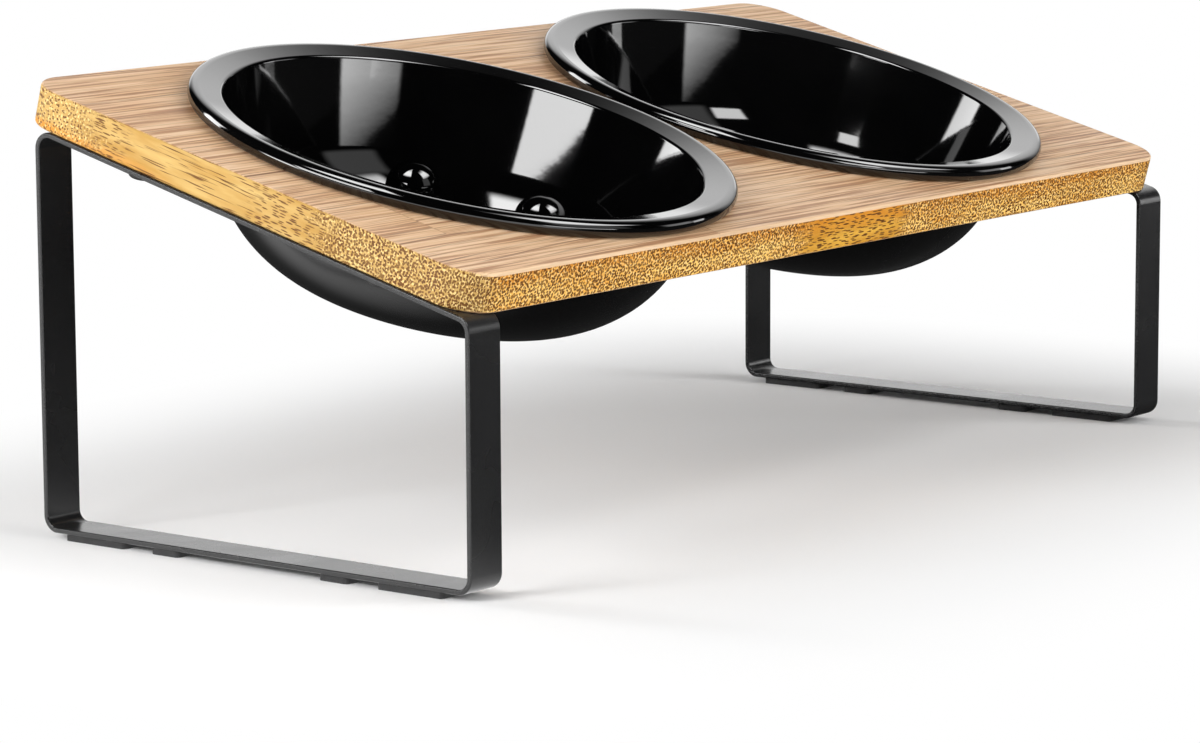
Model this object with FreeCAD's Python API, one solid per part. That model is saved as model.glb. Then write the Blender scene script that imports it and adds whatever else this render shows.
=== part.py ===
import FreeCAD, Part
import math
import os

# Raised feeding stand: a tilted board on two steel strap frames, with two bowls hung in it.
# Millimetres. +Z is up, X runs along the board and -Y is its low front edge.
# The origin lies on the floor under the middle of the stand.

# Board
tilt_deg = 15.0
core_thickness = 10.0
veneer_thickness = 1.0
board_end_margin = 16.0
board_side_margin = 3.5
board_corner_radius = 13.0
board_arris = 0.8

# Bowls, heights measured from the board's top face
rim_radius = 84.5
rim_gap = 5.0
rim_height = 5.0
rim_outer_round = 3.0
rim_under_round = 0.5
rim_slope_deg = 12.0
lip_radius = 1.2
rim_overhang = 6.7
bowl_depth = 48.0
bowl_wall = 4.5
wall_slope_deg = 17.0
outer_corner_radius = 38.0
inner_corner_radius = 30.0
bowl_hole_clearance = 1.0

# Slow-feed domes on the floor of the left bowl
dome_count = 6
dome_wall_gap = 31.3
dome_height = 24.0
dome_top_radius = 8.3
dome_base_radius = 10.0
dome_foot_round = 2.0
dome_first_angle_deg = -6.0

# Leg frames, bent from flat strap
strap_width = 14.0
strap_thickness = 1.6
strap_edge_round = 0.4
bend_inner_radius = 3.4
frame_front_height = 77.5
frame_end_overhang = 0.5
frame_front_overhang = 1.4
frame_rear_inset = 7.6

# Screws and threaded inserts that hold the frames to the board
screw_radius = 2.0
screw_setback = 38.0
screw_head_radius = 3.8
screw_head_height = 2.2
screw_head_round = 1.2
screw_socket_sides = 6
screw_socket_flats = 2.5
screw_socket_depth = 1.3
strap_hole_clearance = 0.25
insert_wall = 1.0
insert_cover = 3.0
insert_fit = 0.1
thread_fit = 0.1
tip_clearance = 0.6

# Foot pads under the frames
pad_thickness = 2.0
pad_side_inset = 0.6
pad_corner_radius = 1.5
long_pad_length = 24.0
short_pad_length = 11.0
pad_gap = 10.5
rear_pad_setback = 8.0
front_pad_setback = 11.0

# Largest share of a thickness that a rounding may take, on one side or on both
one_side_share = 0.9
both_sides_share = 0.4

# Sizes that follow from the ones above
tilt = math.radians(tilt_deg)
board_thickness = core_thickness + 2 * veneer_thickness
bowl_spacing = 2 * rim_radius + rim_gap
board_length = bowl_spacing + 2 * (rim_radius + board_end_margin)
board_depth = 2 * (rim_radius + board_side_margin)
board_top = board_thickness / 2
board_bottom = -board_thickness / 2
body_radius = rim_radius - rim_overhang
bowl_hole_radius = body_radius + bowl_hole_clearance
dome_ring_radius = body_radius - bowl_wall - dome_wall_gap

lower_middle_y = board_thickness / 2 * math.sin(tilt)
half_depth_y = board_depth / 2 * math.cos(tilt)
frame_front_y = lower_middle_y - half_depth_y - frame_front_overhang
frame_rear_y = lower_middle_y + half_depth_y - frame_rear_inset
frame_outer_x = board_length / 2 + frame_end_overhang
strap_middle_x = frame_outer_x - strap_width / 2

insert_radius = screw_radius + thread_fit + insert_wall
insert_hole_depth = board_thickness - insert_cover
insert_length = insert_hole_depth - tip_clearance
screw_length = strap_thickness + insert_length


def vector(x, y, z):
    return FreeCAD.Vector(x, y, z)


def lower_face_z(y):
    """Height of the board's lower face, where the frames' top runs bear on it."""
    return pad_thickness + frame_front_height + (y - frame_front_y) * math.tan(tilt)


board_middle_z = lower_face_z(lower_middle_y) + board_thickness / 2 * math.cos(tilt)
board_place = FreeCAD.Placement(
    vector(0, 0, board_middle_z),
    FreeCAD.Rotation(vector(1, 0, 0), tilt_deg),
)


def on_board(shape):
    """Moves a shape from the board's own level frame to its tilted place."""
    return shape.transformed(board_place.toMatrix(), True)


def save(shape, node):
    shape.exportStep("parts/" + node + ".step")


def line(start, end):
    return Part.LineSegment(start, end).toShape()


def arc(centre_r, centre_h, radius, start_deg, end_deg):
    """Arc in the bowl's section, where r runs outward and h up."""
    points = []
    for degrees in (start_deg, (start_deg + end_deg) / 2, end_deg):
        angle = math.radians(degrees)
        points.append(vector(centre_r + radius * math.cos(angle), 0, centre_h + radius * math.sin(angle)))
    return Part.Arc(*points).toShape()


def chain(pieces):
    """Closed section from points and arcs in order, with straight lines between them."""
    edges = []
    first = None
    last = None
    for piece in pieces:
        is_arc = isinstance(piece, Part.Shape)
        start = piece.valueAt(piece.FirstParameter) if is_arc else piece
        if last is None:
            first = start
        elif last.distanceToPoint(start) > Part.Precision.confusion():
            edges.append(line(last, start))
        last = start
        if is_arc:
            edges.append(piece)
            last = piece.valueAt(piece.LastParameter)
    edges.append(line(last, first))
    return Part.Face(Part.Wire(edges))


def spun(section):
    return section.revolve(vector(0, 0, 0), vector(0, 0, 1), 360)


def upright_edges(block):
    """The edges of a level block that run from its bottom to its top."""
    return [edge for edge in block.Edges if edge.BoundBox.ZLength > block.BoundBox.ZLength / 2]


def board_layer(low, high):
    """Rounded slab between two heights, with the two bowl holes still to be cut."""
    slab = Part.makeBox(board_length, board_depth, high - low, vector(-board_length / 2, -board_depth / 2, low))
    return slab.makeFillet(board_corner_radius, upright_edges(slab))


def rounded_face_edge(slab, height):
    """Rounds the slab's outer edge at the face that lies at this height."""
    round_radius = min(board_arris, one_side_share * veneer_thickness)
    face = min(slab.Faces, key=lambda item: abs(item.CenterOfMass.z - height))
    return slab.makeFillet(round_radius, face.OuterWire.Edges)


def bowl_holes():
    low = vector(0, 0, board_bottom - board_thickness)
    holes = []
    for side in (-1, 1):
        place = low + vector(side * bowl_spacing / 2, 0, 0)
        holes.append(Part.makeCylinder(bowl_hole_radius, 3 * board_thickness, place))
    return Part.makeCompound(holes)


def screw_v(end):
    """Place of a screw along the slope, counted from the board's middle."""
    edge_y = frame_front_y if end < 0 else frame_rear_y
    slope_distance = (edge_y - lower_middle_y) / math.cos(tilt)
    return slope_distance - end * screw_setback


def screw_places(side):
    return [vector(side * strap_middle_x, screw_v(end), board_bottom) for end in (-1, 1)]


def insert_holes(side):
    holes = []
    for place in screw_places(side):
        holes.append(Part.makeCylinder(insert_radius + insert_fit, insert_hole_depth, place))
    return Part.makeCompound(holes)


def board_layers():
    """Core with a veneer on each face, bored for the bowls and the inserts."""
    core_low = board_bottom + veneer_thickness
    core_high = board_top - veneer_thickness
    layers = {
        "board_core": board_layer(core_low, core_high),
        "top_veneer": rounded_face_edge(board_layer(core_high, board_top), board_top),
        "bottom_veneer": rounded_face_edge(board_layer(board_bottom, core_low), board_bottom),
    }
    cuts = [bowl_holes(), insert_holes(-1), insert_holes(1)]
    for node, layer in layers.items():
        for cut in cuts:
            layer = layer.cut(cut)
        layers[node] = layer.Solids[0]
    return layers


def meeting(first_deg, first_reach, second_deg, second_reach):
    """Point of the section that lies this far out in each of two directions."""
    first, second = math.radians(first_deg), math.radians(second_deg)
    turn = math.sin(second - first)
    r = (first_reach * math.sin(second) - second_reach * math.sin(first)) / turn
    h = (second_reach * math.cos(first) - first_reach * math.cos(second)) / turn
    return r, h


def reach(r, h, degrees):
    """How far out a point of the section lies in a direction."""
    angle = math.radians(degrees)
    return r * math.cos(angle) + h * math.sin(angle)


def wall_corner(inset, radius):
    """Middle of the rounding between wall and floor, on a surface this far inside the outer one."""
    slope = math.radians(wall_slope_deg)
    h = inset + radius - bowl_depth
    r = body_radius + h * math.tan(slope) - (inset + radius) / math.cos(slope)
    return r, h


def bowl():
    """Glazed bowl with a sloping wall and a sloping rim that hangs on the board's top face."""
    outer_r, outer_h = wall_corner(0, outer_corner_radius)
    inner_r, inner_h = wall_corner(bowl_wall, inner_corner_radius)
    rim_r = rim_radius - rim_outer_round
    rim_h = rim_height - rim_outer_round
    top_deg = 90 + rim_slope_deg
    inside_deg = 180 - wall_slope_deg
    lip_r, lip_h = meeting(
        top_deg, reach(rim_r, rim_h, top_deg) + rim_outer_round - lip_radius,
        inside_deg, reach(inner_r, inner_h, inside_deg) - inner_corner_radius - lip_radius,
    )
    section = chain([
        vector(0, 0, -bowl_depth),
        arc(outer_r, outer_h, outer_corner_radius, -90, -wall_slope_deg),
        vector(body_radius, 0, 0),
        arc(rim_radius - rim_under_round, rim_under_round, rim_under_round, -90, 0),
        arc(rim_r, rim_h, rim_outer_round, 0, top_deg),
        arc(lip_r, lip_h, lip_radius, top_deg, inside_deg),
        arc(inner_r, inner_h, inner_corner_radius, -wall_slope_deg, -90),
        vector(0, 0, bowl_wall - bowl_depth),
    ])
    return spun(section)


def foot_block():
    """Filling of the bowl down to the middle of its wall, which bounds the domes' feet."""
    wall_middle = bowl_wall / 2
    middle_radius = (outer_corner_radius + inner_corner_radius) / 2
    corner_r, corner_h = wall_corner(wall_middle, middle_radius)
    section = chain([
        vector(0, 0, wall_middle - bowl_depth),
        arc(corner_r, corner_h, middle_radius, -90, -wall_slope_deg),
        vector(body_radius - wall_middle / math.cos(math.radians(wall_slope_deg)), 0, 0),
        vector(0, 0, 0),
    ])
    return spun(section)


def dome():
    """Round-topped cone that stands on the bowl's floor."""
    ball_h = -bowl_depth + bowl_wall + dome_height - dome_top_radius
    section = chain([
        vector(0, 0, -bowl_depth),
        vector(dome_base_radius, 0, -bowl_depth),
        arc(0, ball_h, dome_top_radius, 0, 90),
    ])
    return spun(section)


def dome_places():
    places = []
    for number in range(dome_count):
        angle = math.radians(dome_first_angle_deg + 360 * number / dome_count)
        places.append(vector(dome_ring_radius * math.cos(angle), dome_ring_radius * math.sin(angle), 0))
    return places


def dome_foot_edges(feeder):
    """The edges where the domes' sides meet the bowl's floor."""
    floor_h = bowl_wall - bowl_depth
    found = []
    for edge in feeder.Edges:
        middle = edge.CenterOfMass
        nearest = min(math.hypot(middle.x - place.x, middle.y - place.y) for place in dome_places())
        over_wall = edge.BoundBox.ZMin > floor_h - bowl_wall / 2
        under_top = edge.BoundBox.ZMax < floor_h + dome_height / 2
        if nearest < dome_base_radius and over_wall and under_top:
            found.append(edge)
    return found


def slow_feed_bowl():
    feeder = bowl()
    block = foot_block()
    for place in dome_places():
        piece = dome()
        piece.translate(place)
        feeder = feeder.fuse(piece.common(block))
    feeder = feeder.removeSplitter().Solids[0]
    return feeder.makeFillet(dome_foot_round, dome_foot_edges(feeder)).Solids[0]


def hung(shape, side):
    """Hangs a bowl in its hole in the board."""
    shape.translate(vector(side * bowl_spacing / 2, 0, board_top))
    return on_board(shape)


def loop_prism(inset, bend_radius):
    """Solid filling of the frame's outline, drawn in by the inset, with its corners bent."""
    front = frame_front_y + inset
    rear = frame_rear_y - inset
    low = pad_thickness + inset
    drop = inset / math.cos(tilt)
    corners = [
        vector(0, front, low),
        vector(0, rear, low),
        vector(0, rear, lower_face_z(rear) - drop),
        vector(0, front, lower_face_z(front) - drop),
    ]
    face = Part.Face(Part.makePolygon(corners + corners[:1]))
    prism = face.extrude(vector(strap_width, 0, 0))
    along_x = [edge for edge in prism.Edges if edge.BoundBox.XLength > strap_width / 2]
    return prism.makeFillet(bend_radius, along_x)


def leg_frame(side):
    """Closed strap loop with holes for the screws in its top run."""
    loop = loop_prism(0, bend_inner_radius + strap_thickness)
    loop = loop.cut(loop_prism(strap_thickness, bend_inner_radius))
    side_edges = [edge for edge in loop.Edges if edge.BoundBox.XLength < strap_edge_round]
    loop = loop.makeFillet(min(strap_edge_round, both_sides_share * strap_thickness), side_edges)
    loop.translate(vector(side * strap_middle_x - strap_width / 2, 0, 0))
    hole_radius = screw_radius + strap_hole_clearance
    for place in screw_places(side):
        start = place - vector(0, 0, 2 * strap_thickness)
        hole = Part.makeCylinder(hole_radius, 3 * strap_thickness, start)
        loop = loop.cut(on_board(hole))
    return loop.Solids[0]


def screw():
    """Round-headed screw, its head's bearing face at zero and its shank upward."""
    head = Part.makeCylinder(screw_head_radius, screw_head_height, vector(0, 0, -screw_head_height))
    low_rim = min(head.Edges, key=lambda edge: edge.CenterOfMass.z)
    head = head.makeFillet(min(screw_head_round, one_side_share * screw_head_height), [low_rim])
    socket_radius = screw_socket_flats / 2 / math.cos(math.pi / screw_socket_sides)
    corners = []
    for number in range(screw_socket_sides + 1):
        angle = 2 * math.pi / screw_socket_sides * number
        corners.append(vector(socket_radius * math.cos(angle), socket_radius * math.sin(angle), -screw_head_height))
    socket = Part.Face(Part.makePolygon(corners)).extrude(vector(0, 0, screw_socket_depth))
    shank = Part.makeCylinder(screw_radius, screw_length)
    return head.cut(socket).fuse(shank).removeSplitter()


def frame_screws(side):
    screws = []
    for place in screw_places(side):
        piece = screw()
        piece.translate(place - vector(0, 0, strap_thickness))
        screws.append(on_board(piece).Solids[0])
    return Part.makeCompound(screws)


def frame_inserts(side):
    inserts = []
    for place in screw_places(side):
        sleeve = Part.makeCylinder(insert_radius, insert_length, place)
        bore = Part.makeCylinder(screw_radius + thread_fit, insert_length, place)
        inserts.append(on_board(sleeve.cut(bore)).Solids[0])
    return Part.makeCompound(inserts)


def foot_pad(side, rear_y, length):
    """Flat pad under a frame's bottom run, from its rear end forward."""
    width = strap_width - 2 * pad_side_inset
    corner = vector(side * strap_middle_x - width / 2, rear_y - length, 0)
    pad = Part.makeBox(width, length, pad_thickness, corner)
    return pad.makeFillet(pad_corner_radius, upright_edges(pad))


def foot_pads(side):
    """A long pad near each end of the frame and a short one inward of it."""
    rear_long = frame_rear_y - rear_pad_setback
    rear_short = rear_long - long_pad_length - pad_gap
    front_long = frame_front_y + front_pad_setback + long_pad_length
    front_short = front_long + pad_gap + short_pad_length
    return {
        "rear_pad": foot_pad(side, rear_long, long_pad_length),
        "rear_bumper": foot_pad(side, rear_short, short_pad_length),
        "front_pad": foot_pad(side, front_long, long_pad_length),
        "front_bumper": foot_pad(side, front_short, short_pad_length),
    }


for node, layer in board_layers().items():
    save(on_board(layer), node)

save(hung(slow_feed_bowl(), -1), "left_bowl")
save(hung(bowl(), 1), "right_bowl")

for name, side in (("left", -1), ("right", 1)):
    save(leg_frame(side), name + "_leg_frame")
    save(frame_screws(side), name + "_frame_screws")
    save(frame_inserts(side), name + "_frame_inserts")
    for kind, pad in foot_pads(side).items():
        save(pad, name + "_" + kind)

print("board", round(board_length, 2), "x", round(board_depth, 2), "x", board_thickness)
print("frame heights", frame_front_height, round(lower_face_z(frame_rear_y) - pad_thickness, 2))
print("board middle height", round(board_middle_z, 3))
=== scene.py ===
# %% [markdown]
# A raised feeding stand for a cat: a tilted wooden board on two bent steel straps, with two glazed
# bowls hung in it. The solids come from a CAD model and already have their true size, so this lesson
# gives them finishes, sets up a small studio and photographs them. Lengths are in metres.

# %% Load the model
import math

import bmesh
import bpy
from mathutils import Matrix, Vector


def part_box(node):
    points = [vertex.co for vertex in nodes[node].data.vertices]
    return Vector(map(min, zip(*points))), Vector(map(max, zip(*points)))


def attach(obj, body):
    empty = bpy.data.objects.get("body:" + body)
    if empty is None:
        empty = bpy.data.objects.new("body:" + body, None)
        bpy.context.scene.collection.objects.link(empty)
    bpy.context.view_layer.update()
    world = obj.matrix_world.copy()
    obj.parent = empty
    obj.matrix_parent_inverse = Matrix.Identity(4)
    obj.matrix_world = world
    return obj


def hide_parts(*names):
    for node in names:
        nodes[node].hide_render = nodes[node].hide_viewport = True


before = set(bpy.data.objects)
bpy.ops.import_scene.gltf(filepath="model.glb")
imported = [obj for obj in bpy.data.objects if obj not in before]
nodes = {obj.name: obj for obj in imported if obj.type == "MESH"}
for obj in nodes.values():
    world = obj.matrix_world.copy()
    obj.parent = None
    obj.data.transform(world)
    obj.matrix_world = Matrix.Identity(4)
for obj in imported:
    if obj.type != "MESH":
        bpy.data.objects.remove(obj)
scene = bpy.context.scene
scene.view_settings.view_transform = "Standard"
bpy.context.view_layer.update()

# %% [markdown]
# The camera stands in front of the stand's left end, a little above the board, with a long lens. A
# camera can be aimed with a constraint, but here its three axes are worked out from the viewing angle
# and put into its matrix, because that also takes the slight roll of a hand-held picture.

# %% Camera
view_azimuth = math.radians(-52.774)
view_elevation = math.radians(9.018)
view_roll = math.radians(-0.275)
eye = Vector((-1.12568, -0.84239, 0.25649))

back = Vector((math.sin(view_azimuth) * math.cos(view_elevation),
               -math.cos(view_azimuth) * math.cos(view_elevation),
               math.sin(view_elevation)))
level_right = Vector((0, 0, 1)).cross(back).normalized()
level_up = back.cross(level_right)
right = level_right * math.cos(view_roll) + level_up * math.sin(view_roll)
up = level_up * math.cos(view_roll) - level_right * math.sin(view_roll)

camera_data = bpy.data.cameras.new("camera")
camera_data.sensor_width = 36.0
camera_data.lens = 133.25
camera_data.clip_end = 50.0
camera = bpy.data.objects.new("camera", camera_data)
camera.matrix_world = Matrix((
    (right.x, up.x, back.x, eye.x),
    (right.y, up.y, back.y, eye.y),
    (right.z, up.z, back.z, eye.z),
    (0, 0, 0, 1),
))
scene.collection.objects.link(camera)
scene.camera = camera
print("camera", [round(x, 3) for x in eye], "lens", camera_data.lens)

# %% [markdown]
# Every finish below is a small graph of shader nodes. A few helpers keep the graphs readable: they add a node
# with its settings, a sum, a blend, a mapped range, a noise, a group or a new material. A value given as a
# number is typed into the socket, and a value given as a socket is wired to it.

# %% Node helpers
def feed(tree, socket, value):
    """Types a plain value into a socket, or wires another socket to it."""
    if isinstance(value, bpy.types.NodeSocket):
        tree.links.new(value, socket)
    else:
        socket.default_value = value


def add(tree, kind, inputs=None, **settings):
    """Adds a node, sets its options and fills its inputs by name or by number."""
    node = tree.nodes.new(kind)
    for name, value in settings.items():
        setattr(node, name, value)
    for name, value in (inputs or {}).items():
        feed(tree, node.inputs[name], value)
    return node


def maths(tree, operation, *values):
    """Adds a Math node and gives its result."""
    return add(tree, "ShaderNodeMath", dict(enumerate(values)), operation=operation).outputs[0]


def blend_value(tree, factor, first, second):
    """Blends from one number to another."""
    return add(tree, "ShaderNodeMix", {0: factor, 2: first, 3: second}).outputs[0]


def blend_colour(tree, factor, first, second):
    """Blends from one colour to another."""
    return add(tree, "ShaderNodeMix", {0: factor, 6: first, 7: second}, data_type="RGBA").outputs[2]


def spread(tree, value, low, high, to_low=0.0, to_high=1.0, smooth=False):
    """Maps a value from one range to another and holds it there."""
    node = add(tree, "ShaderNodeMapRange", {0: value, 1: low, 2: high, 3: to_low, 4: to_high})
    if smooth:
        node.interpolation_type = "SMOOTHSTEP"
    return node.outputs[0]


def noise(tree, vector, scale, detail=2.0, roughness=0.5, distortion=0.0):
    """Adds a solid noise and gives its value."""
    node = add(tree, "ShaderNodeTexNoise", {
        "Vector": vector, "Scale": scale, "Detail": detail, "Roughness": roughness, "Distortion": distortion})
    return node.outputs[0]


def split(tree, vector):
    """The three parts of a vector."""
    return add(tree, "ShaderNodeSeparateXYZ", {0: vector}).outputs


def stretched(tree, vector, amounts):
    """Multiplies a place along each axis, which squeezes what is drawn there."""
    return add(tree, "ShaderNodeVectorMath", {0: vector, 1: amounts}, operation="MULTIPLY").outputs[0]


def in_units(tree, vector, size):
    """Measures a place in units of a size."""
    unit = maths(tree, "DIVIDE", 1.0, size)
    return add(tree, "ShaderNodeVectorMath", {0: vector, "Scale": unit}, operation="SCALE").outputs[0]


def new_group(name, inputs, outputs):
    """Starts a node group with a vector and float inputs; outputs named colour carry a colour."""
    tree = bpy.data.node_groups.new(name, "ShaderNodeTree")
    tree.interface.new_socket("Vector", in_out="INPUT", socket_type="NodeSocketVector")
    for label, value in inputs.items():
        socket = tree.interface.new_socket(label, in_out="INPUT", socket_type="NodeSocketFloat")
        socket.default_value = value
    for label in outputs:
        kind = "NodeSocketColor" if label.endswith("olour") else "NodeSocketFloat"
        tree.interface.new_socket(label, in_out="OUTPUT", socket_type=kind)
    source = tree.nodes.new("NodeGroupInput")
    result = tree.nodes.new("NodeGroupOutput")
    return tree, source.outputs, result.inputs


def use_group(tree, group, vector, **values):
    """Adds a node group at a place, with its inputs by name, and gives its outputs."""
    node = add(tree, "ShaderNodeGroup", node_tree=group)
    feed(tree, node.inputs["Vector"], vector)
    for label, value in values.items():
        feed(tree, node.inputs[label.replace("_", " ").capitalize()], value)
    return node.outputs


def new_material(name):
    """A new material, its node tree, its Principled shader and the Object coordinates."""
    material = bpy.data.materials.new(name)
    material.use_nodes = True
    tree = material.node_tree
    shader = tree.nodes["Principled BSDF"]
    place = add(tree, "ShaderNodeTexCoord").outputs["Object"]
    return material, tree, shader, place


def bump(tree, height, distance):
    """Turns a height into a surface normal."""
    return add(tree, "ShaderNodeBump", {"Strength": 1.0, "Distance": distance, "Height": height}).outputs[0]


def dress(material, *names):
    """Puts a finish on CAD nodes or pieces."""
    for name in names:
        slots = bpy.data.objects[name].data.materials
        slots.clear()
        slots.append(material)
    print(material.name, "on", ", ".join(names))


print("helpers ready")

# %% [markdown]
# The board is tilted, so its grain has to be drawn in the board's own frame. A Mapping node of the
# Texture kind undoes the tilt: it takes a point of the stand and gives its place along the board, across
# it and through its thickness.

# %% The board's own frame
board_tilt = math.radians(15.0)
board_middle = Vector((0, 0, 0.108447))


def on_board(tree, place):
    """A place of the stand as a place of the board."""
    node = add(tree, "ShaderNodeMapping", {
        "Vector": place, "Location": board_middle, "Rotation": (board_tilt, 0, 0)}, vector_type="TEXTURE")
    return node.outputs[0]


core_low, core_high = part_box("board_core")
print("core spans", [round(x, 4) for x in core_high - core_low])

# %% [markdown]
# The board's faces are laid from narrow staves. Each stave was cut from another stem, so it has its own
# tone and its own lines. The group below numbers the rows and the staves in a row with Floor and draws a
# random number for each with White Noise. The growth lines are a saw-tooth across the stave: it darkens
# slowly and ends sharply, as late wood does, and a slow noise makes it wander along the board.

# %% Stave grain group
grain, given, result = new_group(
    "stave grain", {"Stave width": 0.0293, "Stave length": 0.31, "Ring pitch": 0.0046},
    ["Tone", "Band", "Rings", "Lines", "Pale", "Joint"])
flat = split(grain, given["Vector"])
row_place = maths(grain, "DIVIDE", flat[1], given["Stave width"])
row = maths(grain, "FLOOR", row_place)
row_random = add(grain, "ShaderNodeTexWhiteNoise", {"W": row}, noise_dimensions="1D").outputs[0]
stave_place = maths(grain, "ADD", maths(grain, "DIVIDE", flat[0], given["Stave length"]),
                    maths(grain, "MULTIPLY", row_random, 7.0))
stave = maths(grain, "FLOOR", stave_place)
stave_code = add(grain, "ShaderNodeCombineXYZ", {0: row, 1: stave}).outputs[0]
stave_random = add(grain, "ShaderNodeTexWhiteNoise", {"Vector": stave_code}, noise_dimensions="3D").outputs[0]
shift = add(grain, "ShaderNodeCombineXYZ", {
    0: maths(grain, "MULTIPLY", stave_random, 31.0),
    2: maths(grain, "MULTIPLY", stave_random, 17.0)}).outputs[0]
shifted = add(grain, "ShaderNodeVectorMath", {0: given["Vector"], 1: shift}, operation="ADD").outputs[0]
wander = noise(grain, stretched(grain, shifted, (5.0, 34.0, 34.0)), 1.0, 2.0, 0.45)
ring_place = maths(grain, "ADD", maths(grain, "DIVIDE", flat[1], given["Ring pitch"]),
                   maths(grain, "MULTIPLY_ADD", wander, 3.2, maths(grain, "MULTIPLY", stave_random, 9.0)))
ring = maths(grain, "FRACT", ring_place)
ring_random = add(grain, "ShaderNodeTexWhiteNoise", {
    "W": maths(grain, "ADD", maths(grain, "FLOOR", ring_place), maths(grain, "MULTIPLY", row_random, 53.0)),
}, noise_dimensions="1D").outputs[0]
late_wood = maths(grain, "MULTIPLY", spread(grain, ring, 0.74, 0.95, smooth=True), spread(grain, ring, 1.0, 0.97))
fading = spread(grain, noise(grain, stretched(grain, shifted, (24.0, 160.0, 160.0)), 1.0, 2.0), 0.36, 0.62, 0.15, 1.0)
ring_strength = maths(grain, "MULTIPLY", fading, spread(grain, ring_random, 0.0, 1.0, 0.25, 1.0))
fine = noise(grain, stretched(grain, shifted, (16.0, 760.0, 760.0)), 1.0, 2.0, 0.55, 0.1)
hair = noise(grain, stretched(grain, shifted, (34.0, 1500.0, 1500.0)), 1.0, 1.0)
row_edge = maths(grain, "ABSOLUTE", maths(grain, "SUBTRACT", maths(grain, "FRACT", row_place), 0.5))
stave_edge = maths(grain, "ABSOLUTE", maths(grain, "SUBTRACT", maths(grain, "FRACT", stave_place), 0.5))
joint = maths(grain, "MAXIMUM", spread(grain, row_edge, 0.490, 0.498), spread(grain, stave_edge, 0.4985, 0.4997))
feed(grain, result["Tone"], stave_random)
feed(grain, result["Band"], ring_random)
feed(grain, result["Rings"], maths(grain, "MULTIPLY", late_wood, ring_strength))
feed(grain, result["Lines"], maths(grain, "MAXIMUM", spread(grain, fine, 0.54, 0.60),
                                   spread(grain, hair, 0.58, 0.66, 0.0, 0.8)))
feed(grain, result["Pale"], spread(grain, fine, 0.47, 0.40))
feed(grain, result["Joint"], joint)
print("group", grain.name)

# %% [markdown]
# Where the board is cut, the stems show their ends: small dark vessels, about a millimetre apart, in a golden
# ground. A Voronoi texture measures how far a point is from the nearest of many scattered points, so a threshold
# on it gives evenly spread dots, and a noise added before the threshold lets some of them run together to worms.
# Where the cut runs along the fibres the same texture is stretched and the dots become dashes, and on the ends a
# drawn-out noise adds streaks. These stretches have their places: behind the middle of each end and in the
# middle of each side.

# %% Edge pattern group
ends, given, result = new_group("edge pattern", {"Vessel pitch": 0.00090}, ["Edge colour", "Vessels"])
flat = split(ends, given["Vector"])
along = maths(ends, "SUBTRACT", flat[0], flat[1])
round_edge = add(ends, "ShaderNodeCombineXYZ", {0: along, 1: flat[2]}).outputs[0]
cells = in_units(ends, round_edge, given["Vessel pitch"])


def flat_noise(vector, scale, detail, distortion):
    """Noise drawn flat on the unrolled edge."""
    return add(ends, "ShaderNodeTexNoise", {
        "Vector": vector, "Scale": scale, "Detail": detail, "Distortion": distortion},
        noise_dimensions="2D").outputs[0]


def worm_noise(vector):
    """Noise with short winding blobs."""
    return flat_noise(vector, 1.1, 0.6, 0.3)


def scattered(vector, low, high, worm_share):
    """Dots around scattered points, thickened and thinned by a worm noise in the same stretch."""
    nearest = add(ends, "ShaderNodeTexVoronoi", {"Vector": vector, "Scale": 1.0, "Randomness": 0.9},
                  voronoi_dimensions="2D").outputs["Distance"]
    return spread(ends, maths(ends, "MULTIPLY_ADD", worm_noise(vector), -worm_share, nearest), low, high)


at_end = spread(ends, maths(ends, "ABSOLUTE", flat[0]), 0.172, 0.182, smooth=True)
rear = maths(ends, "MULTIPLY", at_end, spread(ends, flat[1], 0.020, 0.070))
ragged = noise(ends, stretched(ends, round_edge, (60.0, 420.0, 1.0)), 1.0, 2.0)


def stretch_of(end_span, side_span, ramp):
    """Mask of a stretch of the board's ends (by depth) and sides (by length), with a ragged border."""
    end_mask, side_mask = (
        maths(ends, "MULTIPLY", spread(ends, flat[axis], low - ramp, low + ramp),
              spread(ends, flat[axis], high + ramp, high - ramp))
        for axis, (low, high) in ((1, end_span), (0, side_span)))
    inside = blend_value(ends, at_end, side_mask, end_mask)
    return spread(ends, maths(ends, "MULTIPLY_ADD", ragged, 1.1, inside), 0.80, 1.25, smooth=True)


nowhere = (1.0, -1.0)
dash_run = stretch_of((-0.032, 0.056), (-0.026, 0.028), 0.014)
streak_run = stretch_of((-0.006, 0.045), nowhere, 0.010)
dots = scattered(cells, 0.18, 0.08, 0.56)
sparse = scattered(stretched(ends, cells, (0.74, 0.86, 1.0)), 0.06, -0.05, 0.50)
dot_mask = blend_value(ends, rear, dots, sparse)
dash_mask = scattered(stretched(ends, cells, (0.20, 1.25, 1.0)), 0.07, -0.03, 0.50)
streak_mask = spread(ends, flat_noise(stretched(ends, cells, (0.055, 1.6, 1.0)), 1.0, 1.0, 0.1), 0.615, 0.68)
short = blend_value(ends, dash_run, dot_mask, dash_mask)
vessels = blend_value(ends, streak_run, short, streak_mask)
patchy = spread(ends, noise(ends, given["Vector"], 170.0, 2.0), 0.34, 0.56, 0.8, 1.0)
marked = maths(ends, "MULTIPLY", vessels, patchy)
print("group", ends.name, "vessel pitch 0.9 mm")
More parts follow.
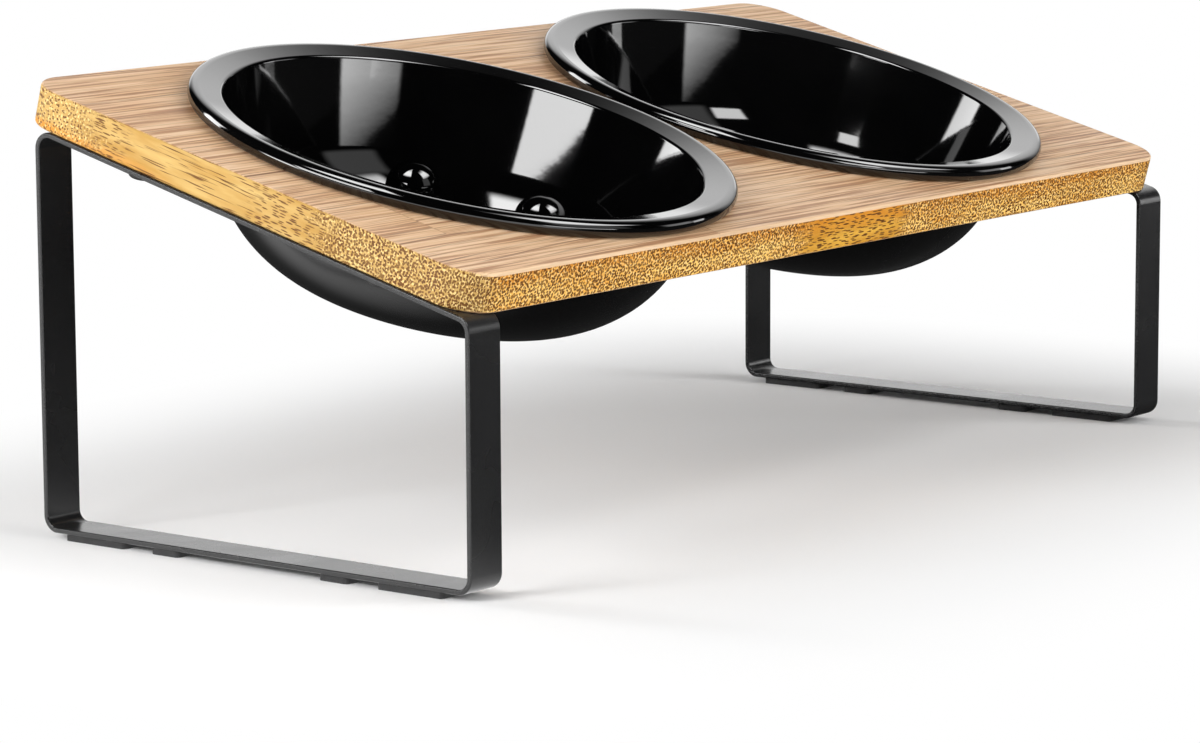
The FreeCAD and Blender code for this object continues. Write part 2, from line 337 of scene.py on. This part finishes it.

# %% [markdown]
# The ground between the vessels is golden on the ends and deeper on the sides, partly from the cut and partly as
# painted light.
# A slow noise moves it between two tones, an amber band lies along the lower rear of the ends and the upper half
# of the sides, and small pale spots of painted highlight sit where the worm noise is lowest.

# %% Edge ground
slow = noise(ends, stretched(ends, round_edge, (34.0, 210.0, 1.0)), 1.0, 3.0, 0.6)
light_spots = spread(ends, slow, 0.34, 0.66)
# The end and side grounds differ partly by the cut and partly by painted light, for how the lamps fall on ends and
# sides.
end_ground = blend_colour(ends, light_spots, (0.44, 0.245, 0.052, 1), (0.57, 0.38, 0.130, 1))
side_dots = blend_colour(ends, light_spots, (0.72, 0.33, 0.040, 1), (0.95, 0.60, 0.16, 1))
side_streaks = blend_colour(ends, light_spots, (0.53, 0.235, 0.016, 1), (0.70, 0.38, 0.045, 1))
side_ground = blend_colour(ends, dash_run, side_dots, side_streaks)
ground = blend_colour(ends, at_end, side_ground, end_ground)
upper = maths(ends, "MULTIPLY", maths(ends, "SUBTRACT", 1.0, at_end), spread(ends, flat[2], -0.001, 0.0035))
lower = maths(ends, "MULTIPLY", rear, spread(ends, flat[2], -0.0024, -0.0042))
amber = maths(ends, "MULTIPLY", maths(ends, "MAXIMUM", upper, lower), spread(ends, ragged, 0.28, 0.48))
ambered = blend_colour(ends, maths(ends, "MULTIPLY", amber, 0.8), ground, (0.62, 0.225, 0.012, 1))
# Painted highlights: pale specks of colour that stand in for glints of light on the cut edge.
painted_glints = maths(ends, "MULTIPLY", spread(ends, worm_noise(cells), 0.42, 0.30), maths(ends, "SUBTRACT", 1.0, dash_run))
painted_glinted = blend_colour(ends, maths(ends, "MULTIPLY", painted_glints, 0.70), ambered, (0.92, 0.68, 0.30, 1))
feed(ends, result["Edge colour"], blend_colour(ends, marked, painted_glinted, (0.135, 0.048, 0.005, 1)))
feed(ends, result["Vessels"], marked)
print("ground on", ends.name)

# %% [markdown]
# Hands, sprays and cloths leave a surface a little uneven. This group gives a slow, blotchy value for
# roughness and a fine one for the smallest relief, and every finish below uses it with its own scale.

# %% Handling group
handling, given, result = new_group("handling", {"Blotch size": 0.03, "Grit size": 0.0006}, ["Blotch", "Grit"])
coarse = in_units(handling, given["Vector"], given["Blotch size"])
fine = in_units(handling, given["Vector"], given["Grit size"])
feed(handling, result["Blotch"], noise(handling, coarse, 1.0, 3.0, 0.55, 0.4))
feed(handling, result["Grit"], noise(handling, fine, 1.0, 2.0))
print("group", handling.name)

# %% [markdown]
# The veneer on the board's two faces is a warm tan with brown lines. Layers make it up: the stave's own
# tone, a tone for each growth band, pale streaks, fine lines, growth lines and the joints. The lines also sink
# the surface by a few hundredths of a millimetre, which breaks the satin sheen along the grain. On the short
# ends, and on the lower sheet's long sides, the veneer is cut and looks like the core. The surface normal tells
# these faces from the rest.

# %% Veneer finish
veneer, tree, shader, place = new_material("tan veneer")
board_place = on_board(tree, place)
wood = use_group(tree, grain, board_place)
cut = use_group(tree, ends, board_place)
tone = blend_colour(tree, wood["Tone"], (0.735, 0.475, 0.275, 1), (0.635, 0.385, 0.205, 1))
banded = blend_colour(tree, maths(tree, "MULTIPLY", wood["Band"], 0.55), tone, (0.80, 0.55, 0.345, 1))
streaked = blend_colour(tree, maths(tree, "MULTIPLY", wood["Pale"], 0.65), banded, (0.86, 0.63, 0.42, 1))
fine_lined = blend_colour(tree, maths(tree, "MULTIPLY", wood["Lines"], 0.78), streaked, (0.36, 0.165, 0.075, 1))
ringed = blend_colour(tree, wood["Rings"], fine_lined, (0.17, 0.06, 0.022, 1))
jointed = blend_colour(tree, maths(tree, "MULTIPLY", wood["Joint"], 0.45), ringed, (0.33, 0.16, 0.08, 1))
facing = split(tree, add(tree, "ShaderNodeTexCoord").outputs["Normal"])
end_face = spread(tree, maths(tree, "ABSOLUTE", facing[0]), 0.35, 0.75, smooth=True)
side_face = spread(tree, maths(tree, "ABSOLUTE", facing[1]), 0.45, 0.85, smooth=True)
edged = blend_colour(tree, maths(tree, "MULTIPLY", side_face, 0.55), jointed, (0.86, 0.64, 0.41, 1))
height = split(tree, board_place)[2]
low_side = maths(tree, "MULTIPLY", side_face, spread(tree, height, 0.001, -0.001))
cut_face = maths(tree, "MAXIMUM", end_face, low_side)
feed(tree, shader.inputs["Base Color"], blend_colour(tree, cut_face, edged, cut["Edge colour"]))
hands = use_group(tree, handling, board_place, blotch_size=0.05, grit_size=0.0004)
feed(tree, shader.inputs["Roughness"], spread(tree, hands["Blotch"], 0.3, 0.7, 0.44, 0.58))
shader.inputs["Specular IOR Level"].default_value = 0.25
relief = maths(tree, "SUBTRACT", 1.0, maths(tree, "ADD", maths(tree, "MULTIPLY", wood["Rings"], 0.6),
                                            maths(tree, "MULTIPLY", wood["Lines"], 0.4)))
feed(tree, shader.inputs["Normal"], bump(tree, relief, 0.00006))
dress(veneer, "top_veneer", "bottom_veneer")

# %% [markdown]
# The core of the board shows on all four edges. It was sawn, sanded and sealed, so its vessels are tiny
# pits. The same mask that darkens them drives a bump, and the sealer gives a satin gloss.

# %% Core finish
core, tree, shader, place = new_material("golden end grain")
board_place = on_board(tree, place)
cut = use_group(tree, ends, board_place)
feed(tree, shader.inputs["Base Color"], cut["Edge colour"])
hands = use_group(tree, handling, board_place, blotch_size=0.02, grit_size=0.0005)
feed(tree, shader.inputs["Roughness"], spread(tree, hands["Blotch"], 0.3, 0.7, 0.44, 0.6))
shader.inputs["Specular IOR Level"].default_value = 0.3
feed(tree, shader.inputs["Normal"], bump(tree, maths(tree, "SUBTRACT", 1.0, cut["Vessels"]), 0.00010))
dress(core, "board_core")

# %% [markdown]
# A mirror finish shows every flat of a coarse mesh, so the bowls are turned again with many steps, from the
# same sizes as the solids. Each starts as a few corners of its section. A bevel of each corner vertex gives
# the rounding, and a full spin about the bowl's axis makes the surface. A bevel is set back along the edges by
# the radius times the tangent of half the turn. The inner wall gets a belly of a fraction of a millimetre, as
# a thrown wall has, so that reflections on it are drawn out and not cut off straight.

# %% Turning helper
def turned(corners, radii, steps):
    """Surface spun about Z from the corners of a section, each with its own rounding radius."""
    shape = bmesh.new()
    points = [shape.verts.new((r, 0, h)) for r, h in corners]
    for start, end in zip(points, points[1:]):
        shape.edges.new((start, end))
    setbacks = []
    for before, point, after in zip(points, points[1:], points[2:]):
        turn = (point.co - before.co).angle(after.co - point.co)
        setbacks.append((point, turn, math.tan(turn / 2)))
    for (point, turn, share), radius in zip(setbacks, radii):
        bmesh.ops.bevel(shape, geom=[point], offset=radius * share, offset_type="OFFSET", affect="VERTICES",
                        segments=max(4, math.ceil(math.degrees(turn) / 3)), profile=0.5, material=-1)
    bmesh.ops.spin(shape, geom=shape.verts[:] + shape.edges[:], cent=(0, 0, 0), axis=(0, 0, 1),
                   angle=2 * math.pi, steps=steps, use_merge=True)
    bmesh.ops.remove_doubles(shape, verts=shape.verts[:], dist=1e-6)
    bmesh.ops.recalc_face_normals(shape, faces=shape.faces[:])
    return shape


print("turning helper ready")

# %% [markdown]
# The section runs from the middle of the underside out to the rim and back in to the middle of the floor.
# The outer wall leans out by 17 degrees, the lower part of the inner one by 18.6, and the rim falls inwards, so
# the corners are where these lines meet. The roundings follow in the same order: foot, under the rim, the rim's
# lower and upper outer edge, lip, belly and floor.

# %% Bowl section
bowl_depth, bowl_wall = 0.048, 0.0045
lean, inner_lean_deg = math.tan(math.radians(17)), 18.6
body_radius, rim_radius = 0.0778, 0.0845
rim_top, lip_radius, lip_height = 0.0057, 0.07416, 0.00351
belly_radius, belly_height = 0.07042, -0.0100
floor_height = bowl_wall - bowl_depth
floor_corner = belly_radius - (belly_height - floor_height) * math.tan(math.radians(inner_lean_deg))
bowl_corners = [
    (0, -bowl_depth), (body_radius - bowl_depth * lean, -bowl_depth), (body_radius, 0), (rim_radius, 0),
    (rim_radius, rim_top), (lip_radius, lip_height), (belly_radius, belly_height), (floor_corner, floor_height),
    (0, floor_height),
]
bowl_radii = [0.038, 0.0004, 0.0024, 0.003, 0.0012, 0.33, 0.030]
print("floor corner at", round(floor_corner, 4), "rim falls", round(rim_top - lip_height, 4))

# %% [markdown]
# Six round-topped domes stand on the left bowl's floor and slow a greedy cat down. Each is turned the same
# way, with a flared foot that ends in the floor. Where the floor starts to turn up into the wall, the lower part
# of a dome is lifted by the same rise, so that its foot stays on the surface. The finished bowls are moved to
# their holes in the tilted board, ride on their bodies and stand for the CAD bowls. Weighted normals keep long
# faces flat in shading.

# %% Bowls
dome_corners = [(0, -0.0195), (0.0083, -0.0195), (0.0096, floor_height), (0.0130, floor_height - 0.0002)]
dome_radii = [0.0081, 0.0020]
dome_ring, dome_count, first_dome = 0.042, 6, math.radians(-6)
dome_middle = -0.0300
floor_round = bowl_radii[-1]
flat_radius = floor_corner - floor_round * math.tan(math.radians(90 - inner_lean_deg) / 2)
bowl_spread = 0.087
board_half = 0.006
bowl_steps, dome_steps = 288, 72


def bowl_piece(name, body, side, domes):
    """Turns a bowl with its domes, puts it in its hole and lets it stand for the CAD bowl."""
    mesh = bpy.data.meshes.new(name)
    whole = turned(bowl_corners, bowl_radii, bowl_steps)
    whole.to_mesh(mesh)
    for number in range(domes):
        angle = first_dome + 2 * math.pi * number / domes
        dome = turned(dome_corners, dome_radii, dome_steps)
        bmesh.ops.translate(dome, verts=dome.verts[:],
                            vec=(dome_ring * math.cos(angle), dome_ring * math.sin(angle), 0))
        for vertex in dome.verts:
            beyond = max(vertex.co.xy.length - flat_radius, 0)
            low_share = min(max((dome_middle - vertex.co.z) / (dome_middle - floor_height), 0), 1)
            vertex.co.z += low_share * (floor_round - math.sqrt(floor_round ** 2 - beyond ** 2))
        dome.from_mesh(mesh)
        dome.to_mesh(mesh)
        dome.free()
    whole.free()
    place = (Matrix.Translation(board_middle) @ Matrix.Rotation(board_tilt, 4, "X")
             @ Matrix.Translation((side * bowl_spread, 0, board_half)))
    mesh.transform(place)
    mesh.shade_smooth()
    piece = bpy.data.objects.new(name, mesh)
    scene.collection.objects.link(piece)
    piece.modifiers.new("weighted normals", "WEIGHTED_NORMAL")
    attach(piece, body)
    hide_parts(body)
    print(name, len(mesh.polygons), "faces")


bowl_piece("left_bowl_glazed", "left_bowl", -1, dome_count)
bowl_piece("right_bowl_glazed", "right_bowl", 1, 0)

# %% [markdown]
# The bowls are glazed deep black and shine like glass. A perfect mirror looks like plastic film, so the
# glaze gets a faint orange peel and a roughness that wanders by a few hundredths. The underside was wiped
# before firing and is only satin. It is found by comparing the surface normal with the board's normal.

# %% Glaze finish
glaze, tree, shader, place = new_material("black glaze")
hands = use_group(tree, handling, place, blotch_size=0.045, grit_size=0.004)
tint = blend_colour(tree, spread(tree, hands["Blotch"], 0.35, 0.7),
                    (0.0007, 0.0007, 0.0008, 1), (0.0017, 0.0017, 0.0018, 1))
feed(tree, shader.inputs["Base Color"], tint)
board_up = (0.0, -math.sin(board_tilt), math.cos(board_tilt))
rise = add(tree, "ShaderNodeVectorMath", {
    0: add(tree, "ShaderNodeTexCoord").outputs["Normal"], 1: board_up}, operation="DOT_PRODUCT").outputs["Value"]
under = spread(tree, rise, -0.05, -0.30, smooth=True)
polish = spread(tree, hands["Blotch"], 0.3, 0.75, 0.035, 0.065)
feed(tree, shader.inputs["Roughness"], maths(tree, "MULTIPLY_ADD", under, 0.22, polish))
shader.inputs["IOR"].default_value = 1.56
feed(tree, shader.inputs["Normal"], bump(tree, hands["Grit"], 0.000006))
dress(glaze, "left_bowl_glazed", "right_bowl_glazed")

# %% [markdown]
# The strap frames are powder coated. Powder melts to a satin skin with a fine pebbled relief, so the
# highlights along the rounded edges are soft and slightly broken.

# %% Powder coat finish
powder, tree, shader, place = new_material("black powder coat")
hands = use_group(tree, handling, place, blotch_size=0.04, grit_size=0.00055)
tint = blend_colour(tree, spread(tree, hands["Grit"], 0.35, 0.7),
                    (0.0090, 0.0090, 0.0093, 1), (0.0150, 0.0150, 0.0156, 1))
feed(tree, shader.inputs["Base Color"], tint)
feed(tree, shader.inputs["Roughness"], spread(tree, hands["Blotch"], 0.3, 0.7, 0.22, 0.30))
shader.inputs["Specular IOR Level"].default_value = 0.4
feed(tree, shader.inputs["Normal"], bump(tree, hands["Grit"], 0.00003))
dress(powder, "left_leg_frame", "right_leg_frame")

# %% [markdown]
# The frames hang on socket screws under the board. Their steel was blackened in a hot bath, so they are
# metal with a dark, slightly uneven colour.

# %% Screw finish
blacking, tree, shader, place = new_material("blackened steel")
hands = use_group(tree, handling, place, blotch_size=0.004, grit_size=0.0003)
tint = blend_colour(tree, hands["Blotch"], (0.02, 0.02, 0.021, 1), (0.05, 0.048, 0.046, 1))
feed(tree, shader.inputs["Base Color"], tint)
shader.inputs["Metallic"].default_value = 1.0
feed(tree, shader.inputs["Roughness"], spread(tree, hands["Grit"], 0.3, 0.7, 0.32, 0.46))
dress(blacking, "left_frame_screws", "right_frame_screws")

# %% [markdown]
# The screws turn into brass inserts in the board's core. They are hidden once the stand is put together,
# but a lifted part should still look like turned brass.

# %% Insert finish
brass, tree, shader, place = new_material("turned brass")
hands = use_group(tree, handling, place, blotch_size=0.003, grit_size=0.0002)
tint = blend_colour(tree, hands["Blotch"], (0.62, 0.43, 0.16, 1), (0.50, 0.33, 0.11, 1))
feed(tree, shader.inputs["Base Color"], tint)
shader.inputs["Metallic"].default_value = 1.0
feed(tree, shader.inputs["Roughness"], spread(tree, hands["Grit"], 0.3, 0.7, 0.25, 0.4))
dress(brass, "left_frame_inserts", "right_frame_inserts")

# %% [markdown]
# Under the frames sit moulded rubber pads. Rubber takes no clear highlight, so its roughness is high and
# a fine grit breaks what is left.

# %% Pad finish
rubber, tree, shader, place = new_material("dark rubber")
hands = use_group(tree, handling, place, blotch_size=0.006, grit_size=0.0004)
tint = blend_colour(tree, hands["Blotch"], (0.012, 0.012, 0.012, 1), (0.026, 0.026, 0.027, 1))
feed(tree, shader.inputs["Base Color"], tint)
feed(tree, shader.inputs["Roughness"], spread(tree, hands["Grit"], 0.3, 0.7, 0.7, 0.85))
feed(tree, shader.inputs["Normal"], bump(tree, hands["Grit"], 0.00005))
pads = [name for name in nodes if name.endswith("_pad") or name.endswith("_bumper")]
dress(rubber, *pads)

# %% [markdown]
# The stage is a plain pale floor. It is a disc that keeps the soft shadow under the stand and turns to
# pure white further out, so that no edge or horizon shows from any side. Shiny surfaces alone see the floor as
# a glowing sheet instead: dark near the stand, a painted shade standing in for the board's shadow on the floor,
# and bright on the left, a painted reflection that gives the bowls' undersides their grey sheen.

# %% Floor
floor_radius = 9.0
stand_half_length, stand_half_depth = 0.19, 0.09
white_distance = 0.16
floor_mesh = bpy.data.meshes.new("floor")
shape = bmesh.new()
bmesh.ops.create_circle(shape, cap_ends=True, radius=floor_radius, segments=96)
shape.to_mesh(floor_mesh)
shape.free()
floor = bpy.data.objects.new("floor", floor_mesh)
scene.collection.objects.link(floor)

paper, tree, shader, place = new_material("pale floor")
shader.inputs["Base Color"].default_value = (0.90, 0.90, 0.90, 1)
shader.inputs["Roughness"].default_value = 0.7
shader.inputs["Specular IOR Level"].default_value = 0.1
spot = split(tree, place)
beside, before = (
    maths(tree, "MAXIMUM", maths(tree, "SUBTRACT", maths(tree, "ABSOLUTE", spot[axis]), half), 0.0)
    for axis, half in enumerate((stand_half_length, stand_half_depth)))
outside = maths(tree, "SQRT", maths(tree, "ADD", maths(tree, "MULTIPLY", beside, beside),
                                    maths(tree, "MULTIPLY", before, before)))
far = spread(tree, outside, 0.0, white_distance, smooth=True)
ray = add(tree, "ShaderNodeLightPath").outputs
glow = add(tree, "ShaderNodeEmission", {"Color": (1, 1, 1, 1), "Strength": 1.0})
paper_mix = add(tree, "ShaderNodeMixShader", {
    0: maths(tree, "MULTIPLY", far, ray["Is Camera Ray"]), 1: shader.outputs[0], 2: glow.outputs[0]})
# Painted shade and painted reflection: shiny surfaces see the floor as an emitting sheet, dark under the stand and
# bright on the left.
painted_reflection_tone = spread(tree, spot[0], -0.10, -0.22, 0.04, 2.0, smooth=True)
painted_reflection_card = add(tree, "ShaderNodeEmission", {"Color": (1, 1, 1, 1), "Strength": painted_reflection_tone})
with_painted_reflection = add(tree, "ShaderNodeMixShader", {
    0: ray["Is Glossy Ray"], 1: paper_mix.outputs[0], 2: painted_reflection_card.outputs[0]})
tree.links.new(with_painted_reflection.outputs[0], tree.nodes["Material Output"].inputs["Surface"])
floor_mesh.materials.append(paper)
print("floor radius", floor_radius)

# %% [markdown]
# Light comes from soft boxes, which are area lamps, and from a dim world. A glossy black bowl shows nothing but
# its surroundings, so the world also holds pale cards that only shiny surfaces see. Each card is a span of
# azimuth and elevation with soft borders, and a wide sweep behind the stand greys the tilted rims.

# %% World
dim_tone, dark_tone = 0.22, 0.004
sweep_azimuth, sweep_tone = math.radians(117), 1.65
cards = [
    ((-116, -62), (54, 82), 17.0),   # high on the left, for the line along the near rims
    ((4, 48), (38, 64), 10.0),       # high in front, for the far lips
    ((-136, -118), (-2, 11), 14.0),  # low behind on the left, for the outer sides of the straps
    ((-4, 26), (9, 36), 0.8),        # in front, for a faint glow in the corner of the bowls
    ((44, 60), (-2, 16), 2.0),       # low on the right, for the fronts of the legs
    ((108, 150), (5, 14), 0.85),     # low behind, for the lower runs of the straps
]
world = bpy.data.worlds.new("studio")
world.use_nodes = True
scene.world = world
tree = world.node_tree
sky = tree.nodes["Background"]
sky.inputs["Color"].default_value = (1, 1, 1, 1)
part = split(tree, add(tree, "ShaderNodeTexCoord").outputs["Generated"])
bearing = maths(tree, "ARCTAN2", part[0], maths(tree, "MULTIPLY", part[1], -1.0))


def card(azimuths, elevations, tone, soft=0.05):
    """A card in the world, from spans of azimuth and elevation in degrees."""
    middle, half = math.radians(sum(azimuths) / 2), math.radians(azimuths[1] - azimuths[0]) / 2
    low, high = (math.sin(math.radians(angle)) for angle in elevations)
    aside = maths(tree, "ABSOLUTE", maths(tree, "SUBTRACT", bearing, middle))
    face = maths(tree, "MULTIPLY", spread(tree, part[2], low - soft, low + soft, smooth=True),
                 spread(tree, part[2], high + soft, high - soft, smooth=True))
    return maths(tree, "MULTIPLY", face, spread(tree, aside, half + soft, half - soft, 0.0, tone, smooth=True))


off_middle = maths(tree, "ABSOLUTE", maths(tree, "SUBTRACT", bearing, sweep_azimuth))
band = maths(tree, "MULTIPLY", spread(tree, part[2], 0.74, 0.47, smooth=True),
             spread(tree, part[2], -0.10, 0.46, smooth=True))
sweep = spread(tree, off_middle, 0.66, 0.36, 0.0, sweep_tone, smooth=True)
glossy_tone = maths(tree, "MULTIPLY_ADD", band, sweep, dark_tone)
for azimuths, elevations, tone in cards:
    glossy_tone = maths(tree, "ADD", glossy_tone, card(azimuths, elevations, tone))
ray = add(tree, "ShaderNodeLightPath").outputs
toned = maths(tree, "ADD", maths(tree, "MULTIPLY", ray["Is Glossy Ray"], glossy_tone),
              maths(tree, "MULTIPLY", maths(tree, "SUBTRACT", 1.0, ray["Is Glossy Ray"]), dim_tone))
seen = maths(tree, "MAXIMUM", ray["Is Camera Ray"], ray["Is Transmission Ray"])
feed(tree, sky.inputs["Strength"], maths(tree, "MAXIMUM", seen, toned))
print("world", world.name, "with", len(cards), "cards")

# %% [markdown]
# A helper places a box by the directions that it should fill, seen from the bowls: a span of azimuth, a span of
# elevation and a distance. Its power follows from how bright its face should be, because the face of an area
# lamp shines with power over pi times its area. A real box is brighter near its bulb and dies off at its seams,
# so the lamp's own nodes shade its face: the Parametric output runs from 0 to 1 across it. The fills only light
# the wood and hide from mirrors, and two small boxes are linked to the right bowl alone, for the spots on its floor.

# %% Soft boxes
bowl_middle = Vector((0, 0, 0.1))


def soft_box(name, azimuths, elevations, brightness, foot=1.0, head=1.0, seam=0.14, distance=1.6,
             mirrored=True, only=None):
    """An area lamp that fills a span of directions and faces the bowls, shaded from its foot to its head."""
    azimuth, elevation = (math.radians(sum(span) / 2) for span in (azimuths, elevations))
    way = Vector((math.sin(azimuth) * math.cos(elevation), -math.cos(azimuth) * math.cos(elevation),
                  math.sin(elevation)))
    lamp = bpy.data.lights.new(name, "AREA")
    lamp.shape = "RECTANGLE"
    lamp.size = 2 * distance * math.tan(math.radians(azimuths[1] - azimuths[0]) / 2) * math.cos(elevation)
    lamp.size_y = 2 * distance * math.tan(math.radians(elevations[1] - elevations[0]) / 2)
    lamp.energy = brightness * math.pi * lamp.size * lamp.size_y
    lamp.use_nodes = True
    tree = lamp.node_tree
    across = split(tree, add(tree, "ShaderNodeNewGeometry").outputs["Parametric"])
    seams = [spread(tree, maths(tree, "ABSOLUTE", maths(tree, "SUBTRACT", side, 0.5)), 0.5, 0.5 - seam, smooth=True)
             for side in across[:2]]
    shaded = maths(tree, "MULTIPLY", maths(tree, "MULTIPLY", *seams), spread(tree, across[1], 0.0, 1.0, foot, head))
    feed(tree, tree.nodes["Emission"].inputs["Strength"], shaded)
    holder = bpy.data.objects.new(name, lamp)
    holder.location = bowl_middle + way * distance
    holder.rotation_euler = (-way).to_track_quat("-Z", "Y").to_euler()
    holder.visible_glossy = mirrored
    if only:
        lit = bpy.data.collections.new(name)
        lit.objects.link(bpy.data.objects[only])
        holder.light_linking.receiver_collection = lit
    scene.collection.objects.link(holder)
    print(name, "at", [round(x, 2) for x in holder.location], "power", round(lamp.energy, 1))


soft_box("left box", (-110, -80), (7, 20.5), 14, seam=0.05, distance=0.7)
soft_box("front box", (-19, 14), (-3.5, 4.5), 11.5, 1.0, 0.0, seam=0.08)
soft_box("top box", (0, 40), (44, 62), 4)
soft_box("rear strip", (-176, -158), (8, 36), 10)
soft_box("right strip", (56, 65), (-4, 11), 4)
soft_box("left fill", (-112, -82), (23, 44), 6, mirrored=False)
soft_box("front fill", (-20, 40), (4, 34), 4.7, mirrored=False)
soft_box("high left box", (-100, -83), (25, 43), 12, only="right_bowl_glazed")
soft_box("high front box", (-24, -2), (11, 28), 11, only="right_bowl_glazed")
